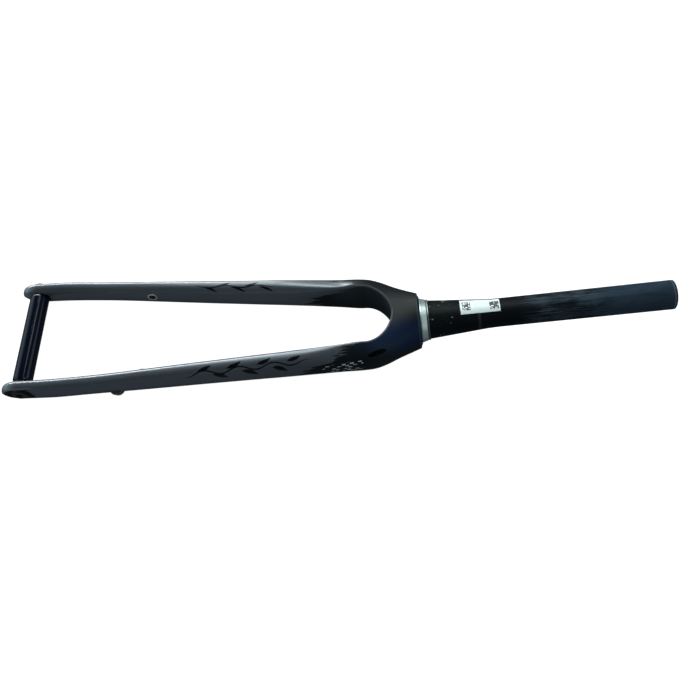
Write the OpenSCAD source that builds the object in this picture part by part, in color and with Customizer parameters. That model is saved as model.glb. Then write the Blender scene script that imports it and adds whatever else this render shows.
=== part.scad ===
// Rigid bicycle fork: straight hollow blades, one-piece crown and tapered steerer,
// made for a 12 mm thru-axle and a flat-mount disc caliper on the left blade.
//
// The fork is worked out in its own frame first: s runs up the steerer from the
// crown race seat, u to the rider's right, v forward. It is then laid on its back,
// front up, the way it comes to rest: on the back of the crown and both dropouts.
// +X runs towards the steerer's open end, +Y to the rider's right, +Z up.

/* [Steerer] */
// Outer diameter of the straight upper steerer
steerer_d = 28.6; // [28.6:0.1:28.6]
// Steerer length above the crown race seat
steerer_len = 243; // [150:1:300]
// Inner diameter of the straight upper steerer
steerer_id = 22.8; // [21:0.1:24]
// Diameter just above the crown race
taper_d = 38.8; // [36:0.1:39.2]
// Height above the seat where the taper meets the straight part
taper_top = 70; // [50:1:110]
// Diameter of the crown race seat
seat_d = 39.8; // [39.8:0.1:39.8]

/* [Crown] */
// Diameter of the top of the crown
crown_d = 55.6; // [54:0.1:57]
// Height of the arch's top below the race seat
arch_drop = 28; // [26:0.5:32]
// Width between the blades at the foot of the arch
tyre_gap = 62; // [58:1:64]

/* [Blades] */
// Distance from the race seat down to the axle, along the steerer
axle_drop = 396; // [385:1:405]
// Forward offset of the axle
rake = 45; // [42:0.5:48]
// Width between the dropouts
hub_w = 100; // [100:1:100]
// Wall of the hollow blades
wall = 2.8; // [2.2:0.1:3.4]

/* [Axle] */
// Diameter of the thru-axle
axle_d = 12; // [12:0.5:12]
// Bore through the axle
axle_bore = 7; // [5:0.5:8]
// Outer diameter of the tube on the axle between the dropouts
spacer_d = 18.5; // [17:0.1:20]

/* [Brake mount] */
// Distance between the caliper bolts
caliper_pitch = 70; // [70:1:70]
// Diameter of the two caliper bosses
boss_d = 12; // [11:0.5:13]
// Distance of both bosses from the fork's middle plane
boss_u = 55; // [54:0.5:56]

/* [Label] */
// Length of the label along the steerer
label_len = 39.5; // [30:0.5:50]
// Width of the label round the steerer
label_w = 17; // [10:0.2:20]

/* [Hidden] */

L = axle_drop;
hi = hub_w / 2;
seat_s = -1.2;              // the crown's top edge lies a little under the seat
rc = crown_d / 2;
arch_s = -55;               // foot of the arch
arch_u = tyre_gap / 2;
arch_top = -arch_drop;
arch_p = 1.75;              // 2 would be an ellipse
tip = 18.5;                 // dropout length beyond the axle
lean_s = 12;                // the blades lean forward from here down
lean_v = rake - 1;          // blade centre at the axle
n_leg = 2.5;                // section exponent of the blades
rim = 3;                    // radius of the arch's edge
ring_n = 24;                // points round one section

// [s, distance of the blade's inner side from the middle]
UI = [[-L - 24, hi - 0.8], [-L, hi - 0.8], [-L + 26, hi - 1], [-L + 66, hi - 3.2],
      [-200, 36.6], [-130, arch_u + 0.8], [arch_s, arch_u]];
// [s, distance of the outer side]
UO = [[-L - 24, hi + 13.8], [-L, hi + 13.8], [-L + 26, hi + 14], [-L + 66, hi + 12.4],
      [-270, 59.2], [-200, 55.2], [-130, 51.5], [-80, 49.8], [-60, 49], [-46, 47.4],
      [-36, 44], [-24, 38], [-12, 32.6], [seat_s, rc]];
// [s, half depth of a blade]
BL = [[-L - 24, 11.6], [-L, 11.6], [-L + 26, 11.8], [-L + 66, 11.4], [-270, 13],
      [-200, 15], [-130, 17.4], [-80, 19.6], [arch_s, 20.4]];
// [s, half depth of the crown on the middle plane]
BE = [[-110, 21.5], [-80, 24], [arch_s, 27.5], [-31, 24.6], [-16, 25.6], [seat_s, rc]];
// [s, section exponent of the crown]
NE = [[-110, 2.6], [-62, 2.5], [-31, 2.3], [seat_s, 2]];

// smooth curve through a table
function slope(T, k) = (T[k + 1][1] - T[k][1]) / (T[k + 1][0] - T[k][0]);
function tang(T, k) = k == 0 ? slope(T, 0) : k == len(T) - 1 ? slope(T, k - 1) :
    let (a = slope(T, k - 1), b = slope(T, k),
         ha = T[k][0] - T[k - 1][0], hb = T[k + 1][0] - T[k][0])
    a * b > 0 ? (a * hb + b * ha) / (ha + hb) : 0;
function curve(T, x) =
    let (n = len(T), xx = min(max(x, T[0][0]), T[n - 1][0]),
         i = min([for (k = [0:n - 2]) if (xx <= T[k + 1][0] + 1e-9) k]),
         h = T[i + 1][0] - T[i][0], t = (xx - T[i][0]) / h, t2 = t * t, t3 = t2 * t)
    (2 * t3 - 3 * t2 + 1) * T[i][1] + (t3 - 2 * t2 + t) * h * tang(T, i)
    + (3 * t2 - 2 * t3) * T[i + 1][1] + (t3 - t2) * h * tang(T, i + 1);
function ease(a, b, x) = let (t = min(max((x - a) / (b - a), 0), 1)) t * t * (3 - 2 * t);
function spow(x, e) = sign(x) * pow(abs(x), e);

// forward offset of the centre line: straight blades with a soft knee under the crown
lean_k = lean_v / (L - lean_s);
function knee(s) = let (d = -s - lean_s) lean_k * (d + sqrt(d * d + 100)) / 2;
function mid_v(s) = knee(s) - knee(seat_s);

// each station is [inner s, inner u, outer s, outer u] for the right half
x_end = 0.5 * (1 + pow(cos(180 / ring_n), 2 / n_leg));
n_arch = 8;
n_top = 8;
function leg_st(s) = [s, curve(UI, s), s, curve(UO, s)];
function arch_pt(a) = [arch_s + (arch_top - arch_s) * pow(sin(a), 2 / arch_p),
                       arch_u * pow(max(cos(a), 0), 2 / arch_p)];
function top_st(a, u) = let (p = arch_pt(a))
    [p[0], a == 90 ? 0 : p[1], p[0] + (seat_s - p[0]) / x_end,
     a == 90 ? 0 : p[1] + (u - p[1]) / x_end];
leg_s = [-L + 12, -L + 26, -L + 45, -L + 66, -L + 90, -280, -250, -220, -190, -160,
         -135, -115, -98, -84, -73, -64, arch_s];
ST = concat(
    [for (a = [12, 28, 45, 62, 78]) leg_st(-L - tip * cos(a))],
    [leg_st(-L)],
    [for (s = leg_s) leg_st(s)],
    [for (j = [1:n_arch - 1]) let (p = arch_pt(60 * j / n_arch),
         so = arch_s + (seat_s - arch_s) * j / n_arch) [p[0], p[1], so, curve(UO, so)]],
    [for (j = [0:n_top]) top_st(60 + 30 * j / n_top, rc * cos(90 * j / n_top))]);

function section(q) =
    let (si = q[0], ui = q[1], so = q[2], uo = q[3], e = 2 / n_leg,
         w = ease(-150, -60, si), wid = norm([so - si, uo - ui]),
         f = si < -L ? sqrt(1 - pow((-si - L) / tip, 2)) : 1, uc = (ui + uo) / 2)
    [for (k = [0:ring_n - 1])
        let (th = (k + 0.5) * 360 / ring_n, x = 0.5 * (1 + spow(cos(th), e)),
             s = si + (so - si) * x, u0 = ui + (uo - ui) * x,
             u = f < 1 ? uc + (u0 - uc) * (0.35 + 0.65 * f) : u0,
             d_leg = curve(BL, min(s, arch_s)) * f * pow(abs(sin(th)), e),
             ne = curve(NE, s),
             d_env = curve(BE, s) * pow(max(1 - pow(min(u0 / curve(UO, s), 1), ne), 0), 1 / ne),
             g = max(rim - x * wid, 0),
             d_cr = max(d_env - (rim - sqrt(rim * rim - g * g)), 0.4),
             d = w > 0 ? (1 - w) * d_leg + w * d_cr : d_leg)
        [s, u, mid_v(s) + (sin(th) > 0 ? d : -d)]];

rings_r = [for (q = ST) section(q)];
nr = len(rings_r);
n_cut = 21;                 // the blades are parted from the crown at this station, s = -64
function side_rings(side, a, b) = side > 0 ? [for (i = [a:b]) rings_r[i]]
    : [for (i = [b:-1:a]) [for (p = rings_r[i]) [p[0], -p[1], p[2]]]];

// a closed skin over a row of rings
module skin(R) {
    m = len(R[0]);
    n = len(R);
    polyhedron(
        points = [for (r = R) for (p = r) p],
        faces = concat(
            [[for (k = [0:m - 1]) k]],
            [[for (k = [m - 1:-1:0]) (n - 1) * m + k]],
            [for (i = [0:n - 2]) for (k = [0:m - 1]) let (a = i * m + k, b = i * m + (k + 1) % m)
                each [[a, b + m, b], [a, a + m, b + m]]]),
        convexity = 6);
}

// hollow of one blade, from under the crown to above the brake mount
cav_n = 12;
cav_s = [-290, -286, -270, -240, -205, -170, -135, -105, -82, -66, -60];
cav_f = [0.45, 0.8, 1, 1, 1, 1, 1, 1, 1, 0.85, 0.5];
function cavity(side) = [for (i = [0:len(cav_s) - 1])
    let (s = cav_s[i], ui = curve(UI, s), uo = curve(UO, s), c = (ui + uo) / 2,
         a = (uo - ui) / 2 - wall, b = curve(BL, s) - wall)
    [for (k = [0:cav_n - 1]) let (th = (k + 0.5) * 360 / cav_n)
        [s, side * (c + cav_f[i] * a * spow(cos(th), 0.8)),
         mid_v(s) + side * cav_f[i] * b * spow(sin(th), 0.8)]]];

// laid on its back
rear_v = lean_v - curve(BL, -L);
pitch = atan2(rear_v + rc, L + 2 + seat_s);
lift = rc * cos(pitch) - seat_s * sin(pitch);
x_mid = (steerer_len * cos(pitch) + steerer_d / 2 * sin(pitch)
         - (L + tip - 0.5) * cos(pitch) - rake * sin(pitch)) / 2 - 0.32;
module lay() { translate([-x_mid, 0, lift]) rotate([0, -pitch, 0]) children(); }
function row_x(s, v) = s * cos(pitch) - v * sin(pitch) - x_mid;
axle_x = row_x(-L, rake);

// turned pieces: along the steerer, and along the axle from the middle to the right
module turned_s(P) { rotate([0, 90, 0]) rotate_extrude($fn = 96) polygon(P); }
module half_turned_s(P, side) {
    rotate([0, 90, 0]) rotate([0, 0, side > 0 ? 0 : 180]) rotate_extrude(angle = 180, $fn = 96) polygon(P);
}
module rod_s(r, s0, s1) { translate([s0, 0, 0]) rotate([0, 90, 0]) cylinder(h = s1 - s0, r = r, $fn = 96); }
module at_axle() { translate([-L, 0, rake]) rotate([-90, 0, 0]) children(); }
module ring_u(ro, ri, u0, u1) {
    translate([0, 0, u0]) difference() {
        cylinder(h = u1 - u0, r = ro, $fn = 72);
        translate([0, 0, -1]) cylinder(h = u1 - u0 + 2, r = ri, $fn = 72);
    }
}

pad = 1.2;                  // depth of the flats on the dropouts' outer sides
out_u = hi + 13.8 - pad;    // where those flats lie
bush_r = 8;
hose_r = 3.1;
port_out = [0.994, 0.057, 0.093];    // the brake hose runs down into the left shoulder
port_at = [-42.8, -41.1, 18.2];
exit_out = [-0.85, 0, -0.53];        // and out at the back, above the caliper
exit_at = [-268, -50.5, 28];
boss_z = 0.4;               // the caliper bosses stop just short of the ground
boss_x = [axle_x + 23 + caliper_pitch, axle_x + 23];
fend_s = -275.7;            // mudguard threads inside the blades
fend_v = mid_v(fend_s) + 2.4;
fend_u = curve(UI, fend_s) + 0.6;     // seats of their flanges

module along(a, p) {
    translate(p) rotate([0, acos(a[2] / norm(a)), atan2(a[1], a[0])]) children();
}

// The fork is moulded as one piece. It is parted here into its steerer, the two halves of
// its crown and its two blades, which meet face to face.
module steerer_tube() {
    hole_r = 14.6 + 1.4 * 6 / 10;
    color("#17191c") lay() turned_s([[hole_r, 0], [seat_d / 2, 0], [seat_d / 2, 7.4],
        [taper_d / 2, 8.6], [steerer_d / 2, taper_top], [steerer_d / 2, steerer_len - 0.4],
        [steerer_d / 2 - 0.4, steerer_len], [steerer_id / 2, steerer_len],
        [steerer_id / 2, taper_top - 2], [16, 12], [16, 4]]);
}

module dropout_cuts(side) {
    // flat for the axle's head and for the insert's end, run out with a scoop
    translate([-L - 30, side * (out_u + 10) - 10, 0]) cube([42, 20, 90]);
    translate([-L + 12, side * (out_u + 12), 0]) cylinder(h = 90, r = 12, $fn = 96);
    // flat for the hub
    translate([-L - 30, side * (hi - 10) - 10, 0]) cube([46, 20, 90]);
    at_axle() translate([0, 0, side > 0 ? hi - 12 : -out_u - 2])
        cylinder(h = out_u - hi + 14, r = bush_r, $fn = 72);
}

module hose_port() {
    along(port_out, port_at - 40 * port_out) cylinder(h = 60, r = hose_r, $fn = 48);
}

module crown(side) {
    color("#17191c") lay() difference() {
        union() {
            skin(side_rings(side, n_cut, nr - 1));
            half_turned_s([[0, -16], [14, -16], [rc - 1, -1.8], [rc - 4.2, 0], [0, 0]], side);
        }
        turned_s([[0, -14], [9, -14], [14.6, -6], [16, 4], [0, 4]]);
        skin(cavity(side));
        if (side < 0) hose_port();
    }
}

module crown_right() { crown(1); }

module crown_left() { crown(-1); }

module blade(side) {
    color("#242c33") difference() {
        union() {
            lay() skin(side_rings(side, 0, n_cut));
            if (side < 0) for (x = boss_x) translate([x, -boss_u, boss_z])
                cylinder(h = 12, r = boss_d / 2, $fn = 72);
        }
        lay() {
            dropout_cuts(side);
            skin(cavity(side));
            if (side < 0) hose_port();
            if (side < 0) along(exit_out, exit_at) cylinder(h = 30, r = hose_r, $fn = 48);
            translate([fend_s, side * fend_u, fend_v]) rotate([-90 * side, 0, 0]) {
                cylinder(h = 9, r = 3.5, $fn = 48);
                translate([0, 0, -3]) cylinder(h = 3, r = 5, $fn = 64);
            }
        }
        if (side < 0) for (x = boss_x) translate([x, -boss_u, boss_z - 1])
            cylinder(h = 11, r = 4, $fn = 48);
    }
}

module blade_right() { blade(1); }

module blade_left() { blade(-1); }

module crown_race() {
    r0 = seat_d / 2;
    color("#b9c4c4") lay() turned_s([[r0, 0], [22.2, 0], [22.2, 1.1], [21.9, 1.5], [20.6, 6],
        [20.2, 6.3], [20.2, 7.0], [20.5, 7.2], [20.5, 8.1], [20.2, 8.4], [r0, 8.4]]);
}

module thru_axle() {
    color("#15171a") lay() at_axle() difference() {
        union() {
            translate([0, 0, -out_u]) cylinder(h = 2 * out_u, r = axle_d / 2, $fn = 72);
            rotate_extrude($fn = 72) polygon([[0, -out_u - 1.2], [6.6, -out_u - 1.2],
                [7.4, -out_u - 0.6], [7.4, -out_u], [0, -out_u]]);
        }
        translate([0, 0, -out_u + 6]) cylinder(h = 2 * out_u, r = axle_bore / 2, $fn = 48);
        translate([0, 0, -out_u - 2]) cylinder(h = 9, r = 3.46, $fn = 6);
    }
}

module axle_spacer() {
    r = spacer_d / 2;
    ri = axle_d / 2 + 0.05;
    color("#0d0f12") lay() at_axle() rotate_extrude($fn = 72)
        polygon([[ri, -hi], [r - 2, -hi], [r - 0.7, -hi + 1.1], [r, -hi + 2.6],
                 [r, hi - 2.6], [r - 0.7, hi - 1.1], [r - 2, hi], [ri, hi]]);
}

module left_dropout_bush() {
    color("#2a2d30") lay() at_axle() ring_u(bush_r, axle_d / 2 + 0.03, -out_u, -hi);
}

module right_axle_insert() {
    color("#2a2d30") lay() at_axle() ring_u(bush_r, axle_d / 2, hi, out_u);
}

// threaded insert, drawn with its mouth at the origin and its body along +Z
module insert(ro, len, flange) {
    difference() {
        union() {
            cylinder(h = len, r = ro, $fn = 48);
            if (flange > 0) translate([0, 0, -0.8]) cylinder(h = 0.8, r = flange, $fn = 64);
        }
        translate([0, 0, -1]) cylinder(h = len - 0.2, r = 2.1, $fn = 48);
    }
}

module caliper_insert_upper() {
    color("#8d9296") translate([boss_x[0], -boss_u, boss_z]) insert(4, 10, 0);
}

module caliper_insert_lower() {
    color("#8d9296") translate([boss_x[1], -boss_u, boss_z]) insert(4, 10, 0);
}

module fender(side) {
    lay() translate([fend_s, side * fend_u, fend_v]) rotate([-90 * side, 0, 0])
        insert(3.5, 7.5, 5);
}

module fender_insert_right() { color("#a9aeb2") fender(1); }

module fender_insert_left() { color("#a9aeb2") fender(-1); }

module grommet(len) {
    difference() {
        cylinder(h = len, r = hose_r - 0.03, $fn = 48);
        translate([0, 0, -1]) cylinder(h = len + 2, r = 2.6, $fn = 48);
    }
}

module hose_entry_grommet() {
    color("#0a0a0b") lay() along(port_out, port_at - 21.2 * port_out) grommet(10);
}

module hose_exit_grommet() {
    color("#0a0a0b") lay() along(exit_out, exit_at + 6 * exit_out) grommet(6);
}

// thin label following the taper and the straight part
module steerer_label() {
    t = 0.12;
    s0 = 38.5;
    s1 = s0 + label_len;
    r0 = taper_d / 2 + (steerer_d - taper_d) / 2 * (s0 - 8.6) / (taper_top - 8.6);
    r1 = steerer_d / 2;
    a = label_w / ((r0 + r1) / 2) * 180 / PI;
    color("#e9f1ee") lay() rotate([0, 90, 0]) rotate([0, 0, 172.7 - a / 2])
        rotate_extrude(angle = a, $fn = 96)
        polygon([[r0, s0], [r1, taper_top], [r1, s1], [r1 + t, s1], [r1 + t, taper_top], [r0 + t, s0]]);
}

steerer_tube();
crown_right();
crown_left();
blade_right();
blade_left();
crown_race();
thru_axle();
axle_spacer();
left_dropout_bush();
right_axle_insert();
caliper_insert_upper();
caliper_insert_lower();
fender_insert_right();
fender_insert_left();
hose_entry_grommet();
hose_exit_grommet();
steerer_label();
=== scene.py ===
import math

import bmesh
import bpy
import numpy as np
from mathutils import Matrix, Vector


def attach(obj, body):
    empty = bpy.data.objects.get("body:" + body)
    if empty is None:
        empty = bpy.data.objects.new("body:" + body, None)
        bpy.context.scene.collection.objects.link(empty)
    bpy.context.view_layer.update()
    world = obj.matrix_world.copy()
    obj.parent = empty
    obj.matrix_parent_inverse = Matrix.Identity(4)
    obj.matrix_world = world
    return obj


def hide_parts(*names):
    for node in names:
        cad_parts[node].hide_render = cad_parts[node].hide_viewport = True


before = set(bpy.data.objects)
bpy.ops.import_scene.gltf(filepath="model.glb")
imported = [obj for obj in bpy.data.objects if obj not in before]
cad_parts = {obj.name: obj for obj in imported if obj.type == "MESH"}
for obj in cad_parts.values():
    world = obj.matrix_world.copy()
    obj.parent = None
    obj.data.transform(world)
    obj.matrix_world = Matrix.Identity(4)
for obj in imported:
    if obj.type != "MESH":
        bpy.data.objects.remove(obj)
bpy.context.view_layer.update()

# ---------------------------------------------------------------- the fork's own frame, in mm
# s runs up the steerer from the race seat, u to the rider's right, v forward.
L, hi, rake = 396.0, 50.0, 45.0
seat_s, rc = -1.2, 27.8
arch_s, arch_u, arch_top, arch_p = -55.0, 31.0, -28.0, 1.75
tip, lean_s, lean_v = 18.5, 12.0, 44.0
n_leg, rim, wall = 2.5, 3.0, 2.8
out_u = hi + 13.8 - 1.2
axle_r = 6.0
UI = [(-L - 24, hi - 0.8), (-L, hi - 0.8), (-L + 26, hi - 1), (-L + 66, hi - 3.2),
      (-200, 36.6), (-130, arch_u + 0.8), (arch_s, arch_u)]
UO = [(-L - 24, hi + 13.8), (-L, hi + 13.8), (-L + 26, hi + 14), (-L + 66, hi + 12.4),
      (-270, 59.2), (-200, 55.2), (-130, 51.5), (-80, 49.8), (-60, 49), (-46, 47.4),
      (-36, 44), (-24, 38), (-12, 32.6), (seat_s, rc)]
BL = [(-L - 24, 11.6), (-L, 11.6), (-L + 26, 11.8), (-L + 66, 11.4), (-270, 13),
      (-200, 15), (-130, 17.4), (-80, 19.6), (arch_s, 20.4)]
BE = [(-110, 21.5), (-80, 24), (arch_s, 27.5), (-31, 24.6), (-16, 25.6), (seat_s, rc)]
NE = [(-110, 2.6), (-62, 2.5), (-31, 2.3), (seat_s, 2)]


def curve(T, x):
    """Smooth curve through a table, at one or many x."""
    xs = np.array([p[0] for p in T], float)
    ys = np.array([p[1] for p in T], float)
    d = np.diff(ys) / np.diff(xs)
    h = np.diff(xs)
    m = np.empty(len(xs))
    m[0], m[-1] = d[0], d[-1]
    for k in range(1, len(xs) - 1):
        m[k] = (d[k - 1] * h[k] + d[k] * h[k - 1]) / (h[k - 1] + h[k]) if d[k - 1] * d[k] > 0 else 0.0
    x = np.clip(np.asarray(x, float), xs[0], xs[-1])
    i = np.clip(np.searchsorted(xs, x, side="left") - 1, 0, len(h) - 1)
    t = (x - xs[i]) / h[i]
    t2, t3 = t * t, t * t * t
    return ((2 * t3 - 3 * t2 + 1) * ys[i] + (t3 - 2 * t2 + t) * h[i] * m[i]
            + (3 * t2 - 2 * t3) * ys[i + 1] + (t3 - t2) * h[i] * m[i + 1])


def ease(a, b, x):
    t = np.clip((np.asarray(x, float) - a) / (b - a), 0, 1)
    return t * t * (3 - 2 * t)


lean_k = lean_v / (L - lean_s)


def knee(s):
    d = -np.asarray(s, float) - lean_s
    return lean_k * (d + np.sqrt(d * d + 100)) / 2


def mid_v(s):
    return knee(s) - knee(seat_s)


# ---------------------------------------------------------------- laid on its back, in metres
rear_v = lean_v - 11.6
pitch = math.atan2(rear_v + rc, L + 2 + seat_s)
ca, sa = math.cos(pitch), math.sin(pitch)
lift = rc * ca - seat_s * sa
x_mid = (243 * ca + 14.3 * sa - (L + tip - 0.5) * ca - rake * sa) / 2 - 0.32
A = np.array([[ca, 0, -sa], [0, 1, 0], [sa, 0, ca]])
T0 = np.array([-x_mid, 0, lift])


def lay(P):
    return (np.asarray(P, float) @ A.T + T0) / 1000


def unlay(P):
    return (np.asarray(P, float) * 1000 - T0) @ A


axle_row = (A @ np.array([-L, 0, rake]) + T0)
boss_x = [axle_row[0] + 93, axle_row[0] + 23]
boss_u, boss_z, boss_r = 55.0, 0.4, 6.0
port_out, port_at = np.array([0.994, 0.057, 0.093]), np.array([-42.8, -41.1, 18.2])
exit_out, exit_at = np.array([-0.85, 0, -0.53]), np.array([-268, -50.5, 28.0])
port_out = port_out / np.linalg.norm(port_out)
exit_out = exit_out / np.linalg.norm(exit_out)
fend_s = -275.7
fend_v = float(mid_v(fend_s)) + 2.4
fend_u = float(curve(UI, fend_s)) + 0.6


# ---------------------------------------------------------------- mesh helpers
def new_obj(name, V, F, row=False):
    me = bpy.data.meshes.new(name)
    V = np.asarray(V, float)
    me.from_pydata([tuple(p) for p in (V if row else lay(V))], [], [tuple(int(i) for i in f) for f in F])
    me.validate()
    ob = bpy.data.objects.new(name, me)
    bpy.context.scene.collection.objects.link(ob)
    return ob


def fix_normals(ob):
    bm = bmesh.new()
    bm.from_mesh(ob.data)
    bmesh.ops.recalc_face_normals(bm, faces=bm.faces)
    bm.to_mesh(ob.data)
    bm.free()


def shade(ob, angle=32.0, weighted=True):
    bm = bmesh.new()
    bm.from_mesh(ob.data)
    lim = math.radians(angle)
    for f in bm.faces:
        f.smooth = True
    for e in bm.edges:
        e.smooth = not (len(e.link_faces) == 2 and e.calc_face_angle(0.0) > lim)
    bm.to_mesh(ob.data)
    bm.free()
    if weighted:
        m = ob.modifiers.new("weighted", "WEIGHTED_NORMAL")
        m.keep_sharp = True
        m.mode = "FACE_AREA"
        apply_mods(ob)


def apply_mods(ob):
    dg = bpy.context.evaluated_depsgraph_get()
    me = bpy.data.meshes.new_from_object(ob.evaluated_get(dg), preserve_all_data_layers=True, depsgraph=dg)
    old = ob.data
    ob.modifiers.clear()
    ob.data = me
    me.name = ob.name
    bpy.data.meshes.remove(old)


def loft(name, rings):
    """Closed skin over rows of points."""
    n, m = rings.shape[:2]
    V = rings.reshape(-1, 3)
    F = [list(range(m))[::-1], [(n - 1) * m + k for k in range(m)]]
    for i in range(n - 1):
        for k in range(m):
            a, b = i * m + k, i * m + (k + 1) % m
            F.append((a, b, b + m, a + m))
    ob = new_obj(name, V, F)
    fix_normals(ob)
    return ob


def frame_of(axis):
    z = np.asarray(axis, float) / np.linalg.norm(axis)
    x = np.cross([0.0, 1.0, 0.0], z)
    if np.linalg.norm(x) < 1e-6:
        x = np.array([1.0, 0, 0])
    x = x / np.linalg.norm(x)
    return x, np.cross(z, x), z


def lathe(name, prof, at, axis, seg=128, row=False, closed=True):
    """Turned solid. prof is a closed outline of (radius, height); points on the axis are merged."""
    x, y, z = frame_of(axis)
    at = np.asarray(at, float)
    prof = [tuple(map(float, p)) for p in prof]
    V, idx = [], []
    for r, h in prof:
        if r < 1e-9:
            idx.append([len(V)] * seg)
            V.append(at + z * h)
        else:
            idx.append(list(range(len(V), len(V) + seg)))
            for k in range(seg):
                a = 2 * math.pi * k / seg
                V.append(at + z * h + r * (math.cos(a) * x + math.sin(a) * y))
    F = []
    n = len(prof)
    for i in range(n if closed else n - 1):
        p, q = idx[i], idx[(i + 1) % n]
        if prof[i][0] < 1e-9 and prof[(i + 1) % n][0] < 1e-9:
            continue
        for k in range(seg):
            k2 = (k + 1) % seg
            f = [p[k], p[k2], q[k2], q[k]]
            g = [v for j, v in enumerate(f) if v not in f[:j]]
            if len(g) > 2:
                F.append(g)
    ob = new_obj(name, V, F, row)
    fix_normals(ob)
    return ob


def rounded(prof, spec, k=6):
    """Rounds corners of a closed outline: spec is {corner number: radius}."""
    out = []
    n = len(prof)
    for i, p in enumerate(prof):
        p = np.array(p, float)
        if i not in spec:
            out.append(tuple(p))
            continue
        a, b = np.array(prof[i - 1], float) - p, np.array(prof[(i + 1) % n], float) - p
        la, lb = np.linalg.norm(a), np.linalg.norm(b)
        a, b = a / la, b / lb
        ang = math.acos(max(-1, min(1, float(a @ b))))
        cut = min(spec[i] / math.tan(ang / 2), 0.49 * la, 0.49 * lb)
        r = cut * math.tan(ang / 2)
        c = p + (a + b) / np.linalg.norm(a + b) * (r / math.sin(ang / 2))
        p0, p1 = p + a * cut, p + b * cut
        a0, a1 = math.atan2(*(p0 - c)[::-1]), math.atan2(*(p1 - c)[::-1])
        d = (a1 - a0 + math.pi) % (2 * math.pi) - math.pi
        for j in range(k + 1):
            t = a0 + d * j / k
            out.append((c[0] + r * math.cos(t), c[1] + r * math.sin(t)))
    return out


def boxed(name, lo, hi_):
    V = [[(lo, hi_)[i][0], (lo, hi_)[j][1], (lo, hi_)[k][2]] for i in (0, 1) for j in (0, 1) for k in (0, 1)]
    F = [(0, 1, 3, 2), (4, 6, 7, 5), (0, 4, 5, 1), (2, 3, 7, 6), (0, 2, 6, 4), (1, 5, 7, 3)]
    ob = new_obj(name, V, F)
    fix_normals(ob)
    return ob


def boolean(ob, cutters, op):
    for c in cutters:
        m = ob.modifiers.new("b", "BOOLEAN")
        m.operation = op
        m.object = c
        m.solver = "MANIFOLD"
    apply_mods(ob)
    for c in cutters:
        me = c.data
        bpy.data.objects.remove(c)
        bpy.data.meshes.remove(me)


# ---------------------------------------------------------------- carbon body
ring_n = 104
fr = 1.3                    # fillet on the crown's top edge
th = (np.arange(ring_n) + 0.5) * 2 * math.pi / ring_n
x_end = 0.5 * (1 + math.cos(math.pi / ring_n) ** (2 / n_leg))


def fil(s):
    g = np.clip(fr - (seat_s - np.asarray(s, float)), 0, fr)
    return fr - np.sqrt(fr * fr - g * g)


def UOf(s):
    return curve(UO, s) - fil(s)


def arch_pt(a):
    a = math.radians(a)
    return (arch_s + (arch_top - arch_s) * math.sin(a) ** (2 / arch_p),
            arch_u * max(math.cos(a), 0) ** (2 / arch_p))


def leg_st(s):
    return (s, float(curve(UI, s)), s, float(UOf(s)))


def top_st(a, u):
    p = arch_pt(a)
    pu = 0.0 if a >= 90 - 1e-9 else p[1]
    return (p[0], pu, p[0] + (seat_s - p[0]) / x_end, 0.0 if a >= 90 - 1e-9 else pu + (u - pu) / x_end)


def section(q):
    si, ui, so, uo = q
    e = 2 / n_leg
    w = float(ease(-150, -60, si))
    wid = math.hypot(so - si, uo - ui)
    f = math.sqrt(max(1 - ((-si - L) / tip) ** 2, 0)) if si < -L else 1.0
    uc = (ui + uo) / 2
    c = np.cos(th)
    x = 0.5 * (1 + np.sign(c) * np.abs(c) ** e)
    s = si + (so - si) * x
    u0 = ui + (uo - ui) * x
    u = uc + (u0 - uc) * (0.35 + 0.65 * f) if f < 1 else u0
    d_leg = curve(BL, np.minimum(s, arch_s)) * f * np.abs(np.sin(th)) ** e
    ne = curve(NE, s)
    d_env = (curve(BE, s) - fil(s)) * np.maximum(1 - np.minimum(u0 / UOf(s), 1) ** ne, 0) ** (1 / ne)
    g = np.maximum(rim - x * wid, 0)
    d_cr = np.maximum(d_env - (rim - np.sqrt(rim * rim - g * g)), 0.4)
    d = (1 - w) * d_leg + w * d_cr if w > 0 else d_leg
    return np.stack([s, u, mid_v(s) + np.where(np.sin(th) > 0, d, -d)], 1)


ts = np.concatenate([np.linspace(0, 0.92, 37)[1:], 1 - np.linspace(0.08, 0, 21)[1:-1] ** 1.0])
stations = ([leg_st(-L - tip * math.cos(math.radians(a))) for a in (5, 9, 13, 18, 23, 28, 34, 40, 46, 52, 58, 64, 70, 77, 84)]
            + [leg_st(s) for s in np.arange(-L, arch_s - 0.1, 1.9)] + [leg_st(arch_s)]
            + [arch_pt(60 * t) + (arch_s + (seat_s - arch_s) * t, float(UOf(arch_s + (seat_s - arch_s) * t))) for t in ts]
            + [top_st(60 + 30 * j / 44, (rc - fr) * math.cos(math.radians(90 * j / 44))) for j in range(45)])
right = np.array([section(q) for q in stations])
left = right[:-1][::-1] * np.array([1, -1, 1])
body = loft("fork_carbon", np.concatenate([right, left]))

# the crown's collar under the race
steer = lathe("collar_tmp", [(0, -16), (14, -16), (rc - 1, -1.8), (rc - 4.2, 0), (0, 0)], (0, 0, 0), (1, 0, 0), 192)
bosses = []
for x in boss_x:
    # low round boss with a fillet where it runs into the blade
    flare = [(0, 0), (boss_r - 0.5, 0), (boss_r - 0.15, 0.15), (boss_r, 0.5), (boss_r, 3.6)]
    for k in range(1, 8):
        a = math.pi / 2 * k / 7
        flare.append((boss_r + 1.8 * (1 - math.cos(a)), 3.6 + 1.8 * math.sin(a)))
    flare += [(boss_r + 1.8, 9.5), (0, 9.5)]
    bosses.append(lathe("boss_tmp", np.array(flare), (x, -boss_u, boss_z), (0, 0, 1), 96, row=True))
for b in bosses:            # these were drawn in row mm
    b.data.transform(Matrix.Scale(0.001, 4))
boolean(body, [steer] + bosses, "UNION")

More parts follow.
